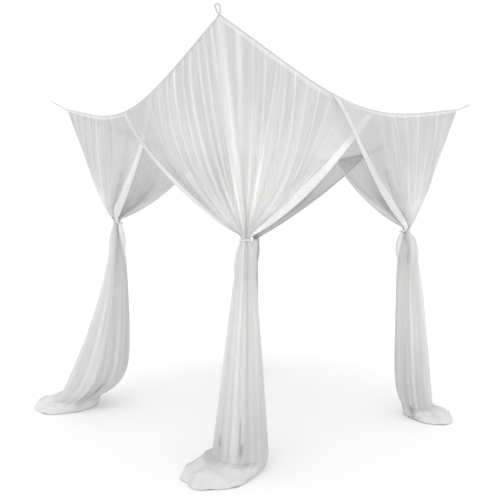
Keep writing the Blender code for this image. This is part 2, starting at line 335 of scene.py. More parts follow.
# how far the cloth near a hem lies outside its neighbour, at the tape and at the crossing
lapping = {"atTop": 0.0022, "atCrossing": 0.038, "early": 0.7, "starts": 0.35, "full": 0.60}
hem = {
    "width": 0.062, "behind": 0.0018, "layers": 2.0, "roll": 0.005, "legWhite": 0.2, "legShare": 0.12,
    "headingWhite": 0.72, "headingFade": 0.006, "drawnIn": 0.38,
}
folds = {
    "gathers": 120,  # fine gathers over a curtain's width
    "finest": 0.008,  # gathers stand fully where they are this narrow
    "widest": 0.017,  # and not at all where they are this wide
    "softCount": 34, "softSlope": 0.16,
    "broadCount": 8, "broadSlope": 0.08,
    "legCalm": 0.75, "legFine": 0.08, "flatTucks": 0.35, "flatSide": 0.60, "calmSide": 0.65,
    "tuckRise": 0.005,
    # shares of the cloth's length over which it turns from drape to leg
    "legFade": (0.42, 0.50), "fineFade": (0.40, 0.50), "hemFade": (0.42, 0.48),
}
# how layers turn to white and creases take painted shade: gathered so far it starts, gathered so far it is
# full
whitening = {"starts": 1.4, "full": 4.5, "dense": 0.85, "tuck": 0.7, "crease": 0.6, "layersEach": 1.2}
rowCounts = {"drape": 52, "neck": 4, "leg": 42, "floor": 26}
columnsPerGather = 6
clothLength = 2.40

# Pairs are for the b side and the a side of the corner, but a hem's pair is its width in metres and
# the most of a row that it may take, and the leg's pair is the white at its top and at its foot, with painted
# light at the top.
# tucks: place across the cloth, drift of it down the cloth, width in metres, how white
# creases: place, width, depth, and the shares of the length where one starts and ends; each is also darkened
# with painted shade
# lobes of the cloth on the floor: place, width, how far out and how high they stand
# Painted light and shade per curtain: each arm's base white is lighter on the near arms and darker on the far
# ones, far arms get more layers so that they read darker, the cloth beside the hems and towards the tie is
# lifted whiter, and hems get more white where they lie in shade.
frontCurtain = {
    "corner": "front", "turn": 0, "coverA": 1.15, "coverB": 0.95, "bow": 1.0, "foot": 0.141, "flare": 0.80,
    "lean": 0.025, "leanPower": 1.0, "twist": 0, "curl": 0.0, "tailAngle": 180, "tail": 0.140, "seed": 11,
    "headingA": 0.012, "headingB": -0.006, "roll": 0.010,
    "hemA": (0.075, 0.52), "hemB": (0.052, 0.44), "hemWhiteAndLight": (0.66, 0.76), "hemTopsWhiteAndLight": (0.40, 0.95),
    "paintedLight": (0.38, 0.45), "far": (0.0, 0.0), "under": (0.0, 0.55), "tiePaintedLight": (0.0, 0.30),
    "legWhiteAndLight": (1.2, 0.58),
    "tucks": [
        (0.00, 0.0, 0.022, 1.25), (-0.07, 0.0, 0.013, 0.45), (-0.13, 0.0, 0.005, 0.45),
        (-0.185, 0.03, 0.006, 0.85), (-0.25, 0.04, 0.005, 0.75), (-0.315, 0.03, 0.006, 0.85),
        (-0.40, 0.03, 0.006, 0.85), (-0.47, 0.05, 0.004, 0.55), (-0.56, 0.04, 0.004, 0.5),
        (-0.64, 0.04, 0.004, 0.35), (0.09, 0.0, 0.013, 0.45), (0.17, 0.0, 0.004, 0.4),
        (0.235, 0.0, 0.004, 0.4), (0.305, -0.22, 0.0035, 0.9), (0.35, -0.05, 0.004, 0.4),
        (0.41, 0.05, 0.005, 0.85), (0.49, 0.0, 0.004, 0.35), (0.57, 0.08, 0.005, 0.65),
        (0.66, 0.0, 0.004, 0.3),
    ],
    "creases": [(0.022, 0.004, 0.006, 0.82, 0.89), (0.040, 0.014, 0.016, 0.890, 0.906),
                (-0.24, 0.014, 0.005, 0.862, 0.874), (-0.42, 0.012, 0.005, 0.868, 0.878)],
    "lobes": [(-0.37, 0.09, 0.018, 0.016), (-0.26, 0.045, -0.010, 0.0), (-0.14, 0.08, 0.016, 0.018),
              (0.10, 0.09, 0.004, 0.012), (0.36, 0.10, 0.006, 0.010), (0.60, 0.09, 0.006, 0.006)],
}
rightCurtain = {
    "corner": "right", "turn": 1, "coverA": 1.07, "coverB": 1.32, "bow": 1.0, "foot": 0.103, "flare": 0.45,
    "lean": 0.085, "leanPower": 0.6, "twist": -35, "curl": 0.06, "tailAngle": 282, "tail": 0.092, "seed": 23,
    "headingA": 0.006, "headingB": 0.012, "roll": 0.004,
    "hemA": (0.036, 0.34), "hemB": (0.048, 0.42), "hemWhiteAndLight": (0.60, 0.88), "hemTopsWhiteAndLight": (0.63, 0.80),
    "paintedLight": (0.36, 0.14), "far": (0.0, 0.3), "under": (0.0, 0.25), "tiePaintedLight": (0.35, 0.30),
    "legWhiteAndLight": (1.3, 0.66),
    "tucks": [
        (0.00, 0.0, 0.008, 0.35), (-0.09, 0.0, 0.010, 0.40), (-0.19, 0.02, 0.010, 0.45),
        (-0.27, 0.0, 0.005, 0.5), (-0.36, 0.02, 0.008, 0.35), (-0.47, 0.0, 0.005, 0.30),
        (-0.60, 0.0, 0.005, 0.25), (0.12, 0.0, 0.006, 0.40), (0.26, 0.0, 0.005, 0.5),
        (0.41, 0.03, 0.006, 0.5), (0.58, 0.0, 0.005, 0.35),
    ],
    "creases": [(-0.50, 0.020, 0.010, 0.952, 0.974)],
    "lobes": [(0.22, 0.12, 0.014, 0.010), (0.52, 0.10, 0.012, 0.012), (-0.1, 0.12, 0.008, 0.006)],
}
backCurtain = {
    "corner": "back", "turn": 2, "coverA": 1.20, "coverB": 1.09, "bow": 0.6, "foot": 0.090, "flare": 0.80,
    "lean": 0.075, "leanPower": 0.5, "twist": 0, "curl": 0.0, "tailAngle": 95, "tail": 0.12, "seed": 37,
    "headingA": 0.006, "headingB": 0.006, "roll": 0.004,
    "hemA": (0.036, 0.34), "hemB": (0.036, 0.34), "hemWhiteAndLight": (0.60, 0.60), "hemTopsWhiteAndLight": (0.60, 0.60),
    "paintedLight": (0.20, 0.20), "far": (0.3, 0.3), "under": (0.25, 0.2), "tiePaintedLight": (0.20, 0.20),
    "legWhiteAndLight": (0.80, 0.70),
    "tucks": [
        (0.00, 0.0, 0.014, 0.7), (-0.12, 0.0, 0.005, 0.5), (-0.27, 0.03, 0.006, 0.6),
        (-0.43, 0.0, 0.005, 0.5), (-0.61, 0.02, 0.005, 0.4), (0.10, 0.0, 0.006, 0.4),
        (0.21, 0.0, 0.005, 0.6), (0.37, 0.03, 0.006, 0.5), (0.50, 0.0, 0.005, 0.4),
        (0.66, 0.0, 0.004, 0.4),
    ],
    "creases": [],
    "lobes": [(-0.5, 0.12, 0.0, 0.008), (0.1, 0.10, 0.0, 0.012)],
}
leftCurtain = {
    "corner": "left", "turn": 3, "coverA": 1.21, "coverB": 1.15, "bow": 1.0, "foot": 0.180, "flare": 1.00,
    "lean": 0.20, "leanPower": 2.0, "twist": 35, "curl": 0.20, "tailAngle": 145, "tail": 0.1265, "seed": 41,
    "headingA": 0.006, "headingB": 0.006, "roll": 0.004,
    "hemA": (0.054, 0.44), "hemB": (0.036, 0.34), "hemWhiteAndLight": (0.88, 0.62), "hemTopsWhiteAndLight": (0.70, 0.70),
    "paintedLight": (0.36, 0.31), "far": (0.3, 0.0), "under": (0.2, 0.2), "tiePaintedLight": (0.50, 0.50),
    "legWhiteAndLight": (1.05, 0.66),
    "tucks": [
        (0.00, 0.0, 0.010, 0.45), (0.10, 0.0, 0.010, 0.45), (0.20, 0.02, 0.012, 0.45),
        (0.31, 0.0, 0.008, 0.5), (0.40, 0.0, 0.010, 0.45), (0.52, 0.02, 0.006, 0.3),
        (0.66, 0.0, 0.005, 0.3), (-0.11, 0.0, 0.006, 0.4), (-0.24, 0.0, 0.005, 0.5),
        (-0.40, 0.03, 0.006, 0.5), (-0.58, 0.0, 0.005, 0.4),
    ],
    "creases": [(0.50, 0.012, 0.012, 0.87, 0.93)],
    "lobes": [(-0.05, 0.12, 0.014, 0.012), (0.20, 0.09, 0.012, 0.014), (0.45, 0.08, 0.010, 0.010)],
}


def tieMiddle(curtain):
    # the tie's place in its corner's own a and b, and its height
    low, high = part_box("tie_" + curtain["corner"])
    middle = (np.array(low) + np.array(high)) / 2
    alongA, alongB = sideAxes(curtain["turn"])
    away = middle[:2] - cornerPoint(curtain["turn"])
    return away @ alongA, away @ alongB, middle[2]


def drapeEnvelope(curtain, u):
    # a cubic curve for each place u, from the sagging edge to an open ring just over the tie
    turn = curtain["turn"]
    alongA, alongB = sideAxes(turn)
    tieA, tieB, tieZ = tieMiddle(curtain)
    onA = u >= 0
    place = np.abs(u)
    out = place * np.where(onA, curtain["coverA"], curtain["coverB"])
    bow = np.where(onA, edgeBow(alongA, out), edgeBow(alongB, out))
    topA, topB = np.where(onA, out, bow), np.where(onA, bow, out)
    topZ = np.where(onA, edgeHeight(alongA, out), edgeHeight(alongB, out)) - tape["height"] / 2 + 0.002
    angle = np.radians(waist["ringMiddle"] + waist["drapeTurn"] * u)
    shoulder = waist["radius"] + waist["shoulderSpread"]
    lowA, lowB = tieA + shoulder * np.cos(angle), tieB + shoulder * np.sin(angle)
    lowZ = tieZ + waist["shoulderRise"]
    reachFirst, dropFirst, reachLast, dropLast = (
        1 / 3 + curtain["bow"] * (np.interp(place, fall["place"], fall[key]) - 1 / 3)
        for key in ("reachFirst", "dropFirst", "reachLast", "dropLast")
    )
    v = np.linspace(0, 1, rowCounts["drape"])[:, None]
    w1, w2, w3 = 3 * v * (1 - v) ** 2, 3 * v * v * (1 - v), v**3
    reach = w1 * reachFirst + w2 * (1 - reachLast) + w3
    drop = w1 * dropFirst + w2 * (1 - dropLast) + w3
    layer = lapping["atTop"] * (1 - v) + lapping["atCrossing"] * slack(v ** lapping["early"]) * (1 - v)
    layer = layer * smooth(place, lapping["starts"], lapping["full"])
    a = topA + (lowA - topA) * reach - np.where(onA, 0, layer)
    b = topB + (lowB - topB) * reach + np.where(onA, layer, 0)
    return toWorld(turn, a, b, topZ + (lowZ - topZ) * drop)


def legEnvelope(curtain, u):
    # the ring again, round the neck, then widening as fall^flare, leaning, turning and curling
    # under on its open side, then spread over the floor and drawn along the tail
    turn = curtain["turn"]
    alongA, alongB = sideAxes(turn)
    tieA, tieB, tieZ = tieMiddle(curtain)
    tail = math.radians(curtain["tailAngle"])
    tailWorld = np.array([math.cos(tail), math.sin(tail)])
    tailA, tailB = tailWorld @ alongA, tailWorld @ alongB
    neck, leg, floor = rowCounts["neck"], rowCounts["leg"], rowCounts["floor"]
    neckShare = np.concatenate([np.linspace(1, -1, neck), -np.ones(leg + floor)])[:, None]
    down = np.concatenate([np.zeros(neck), np.linspace(0, 1, leg + 1)[1:], np.ones(floor)])[:, None]
    lie = np.concatenate([np.zeros(neck + leg), np.linspace(0, 1, floor + 1)[1:]])[:, None]
    turned = math.radians(curtain["twist"]) * smooth(down, 0.0, foot["twistDone"])
    halfTurn = waist["neckTurn"] + (waist["drapeTurn"] - waist["neckTurn"]) * (1 + neckShare) / 2
    halfTurn = halfTurn + (waist["legTurn"] - waist["neckTurn"]) * smooth(down, 0.0, 0.15)
    angle = np.radians(waist["ringMiddle"] + halfTurn * u) + turned
    rayA, rayB = np.cos(angle), np.sin(angle)
    toTail = np.clip((1 + rayA * tailA + rayB * tailB) / 2, 0, 1)
    curls = curtain["curl"] > 0
    radius = waist["radius"] + (curtain["foot"] - waist["radius"]) * down ** curtain["flare"]
    radius = radius + waist["puff"] * np.sin(np.pi * np.clip(down / 0.16, 0, 1))
    radius = radius * (1 + waist["lap"] * u * smooth(down, 0.0, 0.1))
    # on the floor the tail's side runs out and the other side turns under in a quarter circle
    out = np.sin(np.pi / 2 * lie)
    trailing = smooth(toTail, 0.25, 0.75)
    radius = radius + out * foot["spread"] * trailing
    radius = radius - foot["under"] * (1 - np.cos(np.pi / 2 * lie)) * (1 - trailing)
    upright = np.where(curls, foot["uprightHems"] * (1 - toTail), 0)
    away = curtain["lean"] * down ** curtain["leanPower"] * (1 - upright)
    away = away + curtain["curl"] * down ** foot["curlPower"] * (1 - toTail)
    away = away + out * curtain["tail"] * toTail ** foot["tailPower"]
    rise = 0.0
    for place, width, outward, upward in curtain["lobes"]:
        bump = np.exp(-(((u - place) / width) ** 2))
        radius = radius + outward * bump * out
        rise = rise + upward * bump * np.sin(np.pi * np.clip(lie * 0.9, 0, 1))
    a = tieA + radius * rayA + away * tailA
    b = tieB + radius * rayB + away * tailB
    z = (1 - down) * (tieZ + waist["neckHalf"] * neckShare) + down * foot["height"]
    onFloor = foot["floorRise"] + (foot["height"] - foot["floorRise"]) * (1 - lie) ** foot["settle"]
    onFloor = onFloor + foot["hump"] * slack(lie) * toTail + rise
    folded = foot["swirl"] * np.sin(2 * np.pi * (1.7 * lie + 0.4 * ripple(1.2 * u, 0, curtain["seed"] + 9)))
    onFloor = onFloor + folded * smooth(lie, 0.05, 0.3)
    onFloor = onFloor * trailing + foot["height"] * (1 - np.sin(np.pi / 2 * lie)) * (1 - trailing)
    roundedRim = np.cos(np.pi / 2 * smooth(lie, foot["rimStarts"], 1.0))
    onFloor = foot["rimFoot"] + (onFloor - foot["rimFoot"]) * roundedRim
    return toWorld(turn, a, b, np.where(lie > 0, onFloor, z))


def curtainEnvelope(curtain, u):
    # the sheet without its folds: rows from the top edge to the floor, at the places u of each row
    rows = sum(rowCounts.values())
    u = np.broadcast_to(u, (rows, u.shape[-1]))
    split = rowCounts["drape"]
    return np.concatenate([drapeEnvelope(curtain, u[:split]), legEnvelope(curtain, u[split:])])


def lengths(points, axis):
    # running distance along an axis of a grid of points
    steps = np.linalg.norm(np.diff(points, axis=axis), axis=-1)
    start = np.zeros_like(steps[:, :1] if axis == 1 else steps[:1])
    return np.concatenate([start, np.cumsum(steps, axis=axis)], axis=axis)


def unit(vectors):
    return vectors / np.maximum(np.linalg.norm(vectors, axis=-1, keepdims=True), 1e-9)


def waveSlope(stretch):
    # slope m of a cosine whose length over its base is stretch: mean of sqrt(1 + m^2 sin^2)
    slopes = np.linspace(0, 40, 400)[:, None]
    turnAngle = np.linspace(0, np.pi, 200)
    return np.interp(stretch, np.sqrt(1 + (slopes * np.sin(turnAngle)) ** 2).mean(axis=1), slopes[:, 0])


def facing(points):
    # unit normals of a grid of points, from the way down and the way across
    return unit(np.cross(np.gradient(points, axis=0), np.gradient(points, axis=1)))


def hemTakes(curtain, side, key):
    # the share of each row that a strip of the hem's width takes, measured square to the hem
    step = 0.05
    shown, most = curtain[key]
    lines = curtainEnvelope(curtain, side * np.array([[1 - step, 1.0]]))
    along = unit(np.gradient(lines[:, 1], axis=0))
    apart = lines[:, 0] - lines[:, 1]
    apart = apart - (apart * along).sum(axis=1, keepdims=True) * along
    # the tape's heading draws the hem in, and it opens to its full width lower down
    downDrape = np.arange(len(along)) / rowCounts["drape"]
    grown = (1 - hem["drawnIn"]) + hem["drawnIn"] * smooth(downDrape, 0.15, 0.75)
    share = np.minimum(step * shown * grown / np.linalg.norm(apart, axis=1), most)
    padded = np.pad(share, 4, mode="edge")
    return np.convolve(padded, np.ones(9) / 9, "valid")


def makeCurtain(curtain):
    # folds stand on the envelope along its normals: fine gathers as a cosine, as deep as the cut
    # width needs, soft and broad swells as sums of sines, and tucks, creases and hems as listed
    seed = curtain["seed"]
    half = (curtain["coverA"] + curtain["coverB"]) / 2
    hemShare = hem["width"] / half
    backColumns = 8
    columns = folds["gathers"] * columnsPerGather
    across = np.concatenate([
        np.linspace(-1 - hemShare, -1, backColumns, endpoint=False),
        np.linspace(-1, 1, columns + 1),
        np.linspace(1, 1 + hemShare, backColumns + 1)[1:],
    ])
    inward = 1 - np.abs(1 - np.abs(across))  # past 1 the hem turns back on the sheet
    probe = curtainEnvelope(curtain, np.linspace(-1, 1, 161)[None])
    sides = lengths(probe, 1)
    armB, armA = sides[:, 80:81], sides[:, -1:] - sides[:, 80:81]
    arm = np.where(across < 0, armB, armA)
    rowLength = armA + armB
    # the hem keeps its width as the sheet draws in, so it takes a growing share of each row
    takenB, takenA = hemTakes(curtain, -1, "hemB")[:, None], hemTakes(curtain, 1, "hemA")[:, None]
    taken = np.where(across < 0, takenB, takenA)
    rowNumber = np.arange(len(rowLength))[:, None]
    inLegRows = smooth(rowNumber, rowCounts["drape"] + rowCounts["neck"], rowCounts["drape"] + 20)
    taken = taken + (np.minimum(taken, hem["legShare"]) - taken) * inLegRows
    drawn = (1 - hemShare) / (1 - taken)
    plain = (1 - taken) * (1 - (1 - np.minimum(inward / (1 - hemShare), 1)) ** drawn)
    u = np.where(inward < 1 - hemShare, plain, 1 - (1 - inward) * taken / hemShare)
    u = u * np.sign(across)
    middle = curtainEnvelope(curtain, u)
    turnedBack = (np.abs(across) > 1)[None, :]

    tieA, tieB, tieZ = tieMiddle(curtain)
    tieSpot = toWorld(curtain["turn"], np.array([tieA]), np.array([tieB]), 0.0)[0]
    normal = facing(middle) * np.where(turnedBack, -1, 1)[..., None]
    radial = (middle - tieSpot) * (1, 1, 0)
    nearTie = np.exp(-(((middle[..., 2] - tieZ) / 0.045) ** 2))[..., None]
    normal = unit(normal * (1 - nearTie) + unit(radial) * nearTie)
    nearTie = nearTie[..., 0]
    fromTop = lengths(middle, 0)
    fromTop = fromTop / fromTop[-1]
    below = smooth(fromTop, 0.0, 0.05)
    inHem = smooth(inward, 1 - 1.08 * hemShare, 1 - 0.94 * hemShare)

    # tucks keep their own width as the sheet draws in, and blur into the leg
    inLeg = smooth(fromTop, *folds["legFade"])
    tucked = np.zeros_like(fromTop)
    for spot, drift, width, strength in curtain["tucks"]:
        away = (across - spot - drift * fromTop) * arm
        shown = (1 - 0.85 * inLeg) * (0.75 + 0.25 * np.sin(9 * fromTop + 40 * spot + seed))
        tucked = np.maximum(tucked, strength * shown * np.exp(-((away / width / 1.25) ** 2)))

    stretch = np.maximum(rowLength[0] / rowLength, 1.0)
    pitch = rowLength / folds["gathers"]
    fine = waveSlope(stretch) * pitch / (2 * np.pi) * (1 - smooth(pitch, folds["finest"], folds["widest"]))
    uneven = 0.20 * (1 - 0.6 * inLeg) * ripple(across, 0.3 * fromTop, seed + 2, 3.0, 9.0)
    fine = fine * np.clip(1 + uneven, 0.6, 1.25)
    fine = fine * (1 - folds["flatTucks"] * np.minimum(tucked, 1) - 0.25 * np.exp(-((across / 0.10) ** 2)))
    fine = fine * (1 - folds["legFine"] * smooth(fromTop, *folds["fineFade"]))
    besideHem = smooth(np.abs(across), 0.60, 0.85) * smooth(fromTop, 0.16, 0.34) * (1 - inLeg)
    fine = fine * (1 - folds["calmSide"] * besideHem)
    fine = np.minimum(fine, waist["pleat"] + 0.008 * smooth(np.abs(middle[..., 2] - tieZ), 0.05, 0.35))
    warp = across + 0.010 * np.sin(2 * np.pi * 3.3 * across + seed) + 0.004 * np.sin(2 * np.pi * 9.7 * across)
    rise = fine * np.cos(np.pi * folds["gathers"] * warp + 0.5 * ripple(across, fromTop, seed + 1, 1.0, 3.0))
    soft = folds["softSlope"] * rowLength / folds["softCount"] / (2 * np.pi)
    calm = 1 - folds["legCalm"] * inLeg
    calm = calm * (1 - folds["calmSide"] * besideHem)
    rise = rise + 2.4 * soft * calm * ripple(across, 0.04 * fromTop, seed + 3, 9.0, 22.0, 9)
    broad = folds["broadSlope"] * rowLength / folds["broadCount"] / (2 * np.pi)
    rise = rise + 2.0 * broad * calm * ripple(across, 0.15 * fromTop, seed + 4, 2.0, 5.0, 6)

    rise = rise + folds["tuckRise"] * tucked
    # creases sink into the sheet, and their mask darkens the colour there as painted shade
    paintedCreaseShade = np.zeros_like(fromTop)
    for spot, width, depth, starts, ends in curtain["creases"]:
        away = (across - spot) * arm
        shown = smooth(fromTop, starts, (starts + ends) / 2) * (1 - smooth(fromTop, ends, ends + 0.02))
        crease = shown * np.exp(-((away / width) ** 2))
        rise = rise - depth * crease
        paintedCreaseShade = np.maximum(paintedCreaseShade, crease)
    rows = len(middle)
    onFloor = np.clip((np.arange(rows) - (rows - rowCounts["floor"] - 1)) / rowCounts["floor"], 0, 1)[:, None]
    rise = rise * below * (1 - 0.85 * inHem * (1 - 0.6 * inLeg)) * (1 - 0.6 * smooth(onFloor, 0.0, 0.4))
    # each hem is a soft flat roll, thicker where it runs in to the tie
    rollHeight = hem["roll"] + (curtain["roll"] - hem["roll"]) * smooth(fromTop, 0.12, 0.34)
    rollShape = np.sqrt(np.clip(np.sin(np.pi * np.clip((1 - inward) / hemShare, 0, 1)), 0, 1))
    rise = rise + rollHeight * rollShape * inHem * below * (1 - nearTie)

    points = middle + normal * rise[..., None]
    points = points - normal * np.where(turnedBack, hem["behind"] * (1 - nearTie), 0.0)[..., None]
    crumple = ripple(1.3 * u, 0.5 * onFloor, seed + 5, 0.8, 2.6)
    crumple = foot["crumple"] * crumple + foot["finer"] * ripple(3.1 * u, 2.2 * onFloor, seed + 7, 1.0, 3.0)
    points[..., 2] += crumple * smooth(onFloor, 0.0, 0.35) * (1 - smooth(onFloor, 0.75, 1.0))
    floorAt = 0.002 + 0.002 * (1 + ripple(u * 3, onFloor * 2, seed + 6))
    points[..., 2] = np.maximum(points[..., 2], floorAt)

    # gather: how many layers one look through the sheet meets, and how white that makes it
    dense = smooth(np.log(stretch), math.log(whitening["starts"]), math.log(whitening["full"]))
    hemmed = inHem * (1 + (hem["legWhite"] - 1) * smooth(fromTop, *folds["hemFade"]))
    heading = np.where(across < 0, curtain["headingB"], curtain["headingA"])
    topBand = 1 - smooth(fromTop * clothLength, heading, heading + hem["headingFade"])
    gather = 1 + whitening["layersEach"] * (stretch - 1) + whitening["layersEach"] * tucked
    gather = gather + hem["layers"] * np.maximum(hemmed, topBand)
    # painted light and shade: each arm gets a base white, lighter on the near arms and darker on the far
    # ones, as if the far net hung in shade
    paintedLightB, paintedLightA = curtain["paintedLight"]
    farB, farA = curtain["far"]
    paintedLight = paintedLightB + (paintedLightA - paintedLightB) * smooth(across, -0.1, 0.1)
    # painted light: the cloth next to the hems is lifted whiter, against the shade that an overlying net or
    # hem throws on it
    paintedUnderB, paintedUnderA = curtain["under"]
    paintedLight = paintedLight + np.where(across < 0, paintedUnderB, paintedUnderA) * smooth(np.abs(across), 0.60, 0.85)
    # beside the hems the net hangs flat, so it shows more of what is behind it
    plainSide = smooth(np.abs(across), 0.55, 0.80) * (1 - smooth(fromTop, 0.20, 0.32)) * (1 - inHem)
    plainSide = plainSide * (np.where(across < 0, farB, farA) == 0)
    gather = gather * (1 - folds["flatSide"] * plainSide)
    # painted shade: extra layers on the far arms let less of what is behind show, so they read darker
    gather = gather + np.where(across < 0, farB, farA) * (1 - inLeg)
    bunched = whitening["dense"] * dense + whitening["tuck"] * tucked - whitening["crease"] * paintedCreaseShade
    whitenessAndLight = paintedLight + (1 - paintedLight) * np.clip(bunched, -0.3, 1)
    # painted light: the lower drape towards the tie is lifted whiter, against the shade it lies in there
    tieLightB, tieLightA = curtain["tiePaintedLight"]
    whitenessAndLight = whitenessAndLight + np.where(across < 0, tieLightB, tieLightA) * smooth(fromTop, 0.12, 0.32)
    # painted light and shade in the leg: its white runs from the top, set at or past full white to lift the
    # shade of its deep folds, to a darker foot
    legTop, legFoot = curtain["legWhiteAndLight"]
    downLeg = np.clip((fromTop - 0.46) / 0.44, 0, 1)
    inside = legTop + (legFoot - legTop) * downLeg + 0.15 * tucked - 0.5 * paintedCreaseShade
    whitenessAndLight = whitenessAndLight + (inside - whitenessAndLight) * inLeg
    streaks = 1 - 0.6 * plainSide - 0.55 * inLeg - 0.35 * smooth(onFloor, 0.0, 0.3)
    # a hem is white as doubled cloth, with painted light added on the arms in shade and on its upper part
    # where another net hangs over it and shades it
    topB, topA = curtain["hemTopsWhiteAndLight"]
    hemTopWhiteAndLight = np.where(across < 0, topB, topA)
    hemB, hemA = curtain["hemWhiteAndLight"]
    hemWhiteAndLight = np.where(across < 0, hemB, hemA)
    hemWhiteAndLight = hemWhiteAndLight + (hemTopWhiteAndLight - hemWhiteAndLight) * (1 - smooth(fromTop, 0.10, 0.24))
    whitenessAndLight = whitenessAndLight + (hemWhiteAndLight * (1 - 0.4 * paintedCreaseShade) - whitenessAndLight) * hemmed
    whitenessAndLight = np.maximum(whitenessAndLight, hem["headingWhite"] * topBand)
    uv = np.stack([np.broadcast_to(across * half, gather.shape), fromTop * clothLength], -1)
    name = "net_curtain_" + curtain["corner"]
    shades = {"gather": np.clip(gather, 0, 12), "whitenessAndLight": whitenessAndLight, "streaks": streaks}
    piece = newPiece(name, points, net, uv, shades, downFirst=True)
    # the net scatters light, so each gather is shaded part way to the sheet under it
    truth = facing(points) * np.where(turnedBack, -1, 1)[..., None]
    own = (scatter["ownNormal"] * (1 - scatter["legSofter"] * inLeg))[..., None]
    softened = unit(truth * own + normal * (1 - own))
    softened[:, turnedBack[0]] *= -1
    piece.data.normals_split_custom_set_from_vertices(softened.reshape(-1, 3))
    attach(piece, "root")
    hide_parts("curtain_" + curtain["corner"])
    # cut as wide as the sagging edge that it is sewn to, and a hem more on each side
    print(f"{name}: {len(piece.data.polygons)} quads, gathers {fine.max()*1000:.1f} mm deep")
    return piece


# ---- roof

roofSizes = {"cells": 110, "tucked": 0.002, "wrinkle": 0.0035, "flat": (2.10, 1.90)}


def makeRoof():
    # shares s and t of the spans: z falls by both sides' slack, and wrinkles fan out of the corners
    shares = np.linspace(0, 1, roofSizes["cells"] + 1)
    t, s = np.meshgrid(shares, shares, indexing="ij")
    inset = tape["width"] / 2 - roofSizes["tucked"]
    halfX = spanX / 2 - inset - tape["sideBow"] * slack(t)
    halfY = spanY / 2 - inset - tape["sideBow"] * slack(s)
    x = roofMiddle[0] + (2 * s - 1) * halfX
    y = roofMiddle[1] + (2 * t - 1) * halfY
    z = hangHeight - sagX * edgeSlack(s) - sagY * edgeSlack(t)
    fade = smooth(np.minimum(np.minimum(s, 1 - s), np.minimum(t, 1 - t)), 0.0, 0.05)
    for cornerS, cornerT, seed in ((0, 0, 1), (1, 0, 2), (1, 1, 3), (0, 1, 4)):
        away = np.hypot(s - cornerS, t - cornerT)
        angle = np.arctan2(np.abs(t - cornerT), np.abs(s - cornerS))
        fan = np.cos(26 * angle + seed) * np.exp(-((away / 0.38) ** 2)) * smooth(away, 0.02, 0.15)
        z = z + roofSizes["wrinkle"] * fan * fade
    z = z + 0.004 * ripple(s * 1.4, t * 1.4, 77, 0.8, 2.5) * fade
    points = np.stack([x, y, z], -1)
    uv = np.stack([x, y], -1)
    edge = np.minimum(np.minimum(s, 1 - s) * spanX, np.minimum(t, 1 - t) * spanY)
    seam = 1 - smooth(edge, 0.010, 0.014)
    # painted shade: the roof's base white is kept low and its layers raised, so that its underside reads as
    # in shade; the seam is whiter as doubled cloth
    gather = 1.3 + 1.5 * seam
    shades = {"gather": gather, "whitenessAndLight": 0.06 + 0.5 * seam, "streaks": 0.5 + 0 * seam}
    piece = newPiece("net_roof", points, net, uv, shades)
    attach(piece, "root")
    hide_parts("roof_panel")
    print("roof done")
    return piece


# ---- tapes, ties and loops


def sweep(name, path, sides, ups, profile, material, closed=False):
    # a closed profile of (side, up) points carried along a path; ends are drawn together unless closed
    rings = path[:, None] + sides[:, None] * profile[None, :, :1] + ups[:, None] * profile[None, :, 1:]
    if not closed:
        rings = np.concatenate([np.repeat(path[:1, None], rings.shape[1], 1), rings,
                                np.repeat(path[-1:, None], rings.shape[1], 1)])
        path = np.concatenate([path[:1], path, path[-1:]])
    else:
        rings = np.concatenate([rings, rings[:1]])
        path = np.concatenate([path, path[:1]])
    along = lengths(path[:, None], 0)
    around = np.linspace(0, np.abs(profile).max() * 2 * np.pi, len(profile))
    uv = np.stack(np.broadcast_arrays(along, around[None]), -1)
    return newPiece(name, rings, material, uv, closedAcross=True)


def roundedProfile(halfWidth, halfHeight, power=4, count=16):
    # superellipse |x|^p + |y|^p = 1
    angle = np.linspace(0, 2 * np.pi, count, endpoint=False)
    c, s = np.cos(angle), np.sin(angle)
    return np.stack([halfWidth * np.sign(c) * np.abs(c) ** (2 / power),
                     halfHeight * np.sign(s) * np.abs(s) ** (2 / power)], -1)


tapeSides = {"front_right": 0, "back_right": 1, "back_left": 2, "front_left": 3}


def makeTape(name, turn):
    # the folded tape over one side's seam, with a slight pucker from its stitching
    along, inward = sideAxes(turn)
    span = sideSize(along)[0]
    past = tape["width"] / 2 if abs(along[0]) > 0.5 else -tape["width"] / 2 - 0.0003
    distance = np.linspace(-past, span + past, 260)
    clipped = np.clip(distance, 0, span)
    height = edgeHeight(along, clipped) + 0.0006 * np.sin(distance * 2 * np.pi / 0.023)
    path = toWorld(turn, distance, edgeBow(along, clipped), height)
    sides = np.broadcast_to(np.append(inward, 0.0), path.shape)
    ups = np.broadcast_to(np.array([0.0, 0.0, 1.0]), path.shape)
    profile = roundedProfile(tape["width"] * 0.4, tape["height"] * 0.3)
    piece = sweep("tape_" + name, path, sides, ups, profile, edgeTape)
    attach(piece, "root")
    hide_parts("binding_" + name)


ribbon = {"halfHeight": 0.0048, "halfThick": 0.0009, "wander": 0.0006}


def makeTie(corner):
    # a ribbon round the waist, with a small wander up and down
    low, high = (np.array(p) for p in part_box("tie_" + corner))
    middle = (low + high) / 2
    radius = (high[0] - low[0]) / 2 - 0.0012
    angle = np.linspace(0, 2 * np.pi, 96, endpoint=False)
    ray = np.stack([np.cos(angle), np.sin(angle), 0 * angle], -1)
    path = middle + ray * (radius + 0.0004 * np.sin(9 * angle)[:, None])
    path[:, 2] += ribbon["wander"] * np.sin(3 * angle + radius)
    ups = np.broadcast_to(np.array([0.0, 0.0, 1.0]), path.shape)
    profile = roundedProfile(ribbon["halfThick"], ribbon["halfHeight"], 5)
    piece = sweep("net_tie_" + corner, path, ray, ups, profile, whiteRibbon, closed=True)
    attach(piece, "root")
    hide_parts("tie_" + corner)


# the cord is drawn thicker than its real 4 mm, so that it shows from a few metres away
loop = {"cord": 0.0085, "eye": 0.012, "twistPitch": 0.011, "strands": 3, "strandDepth": 0.12}
loopShapes = {"front": (0, 0.06, 10), "right": (1, 0.08, 25), "back": (2, 0.09, 25), "left": (3, 0.12, 30)}


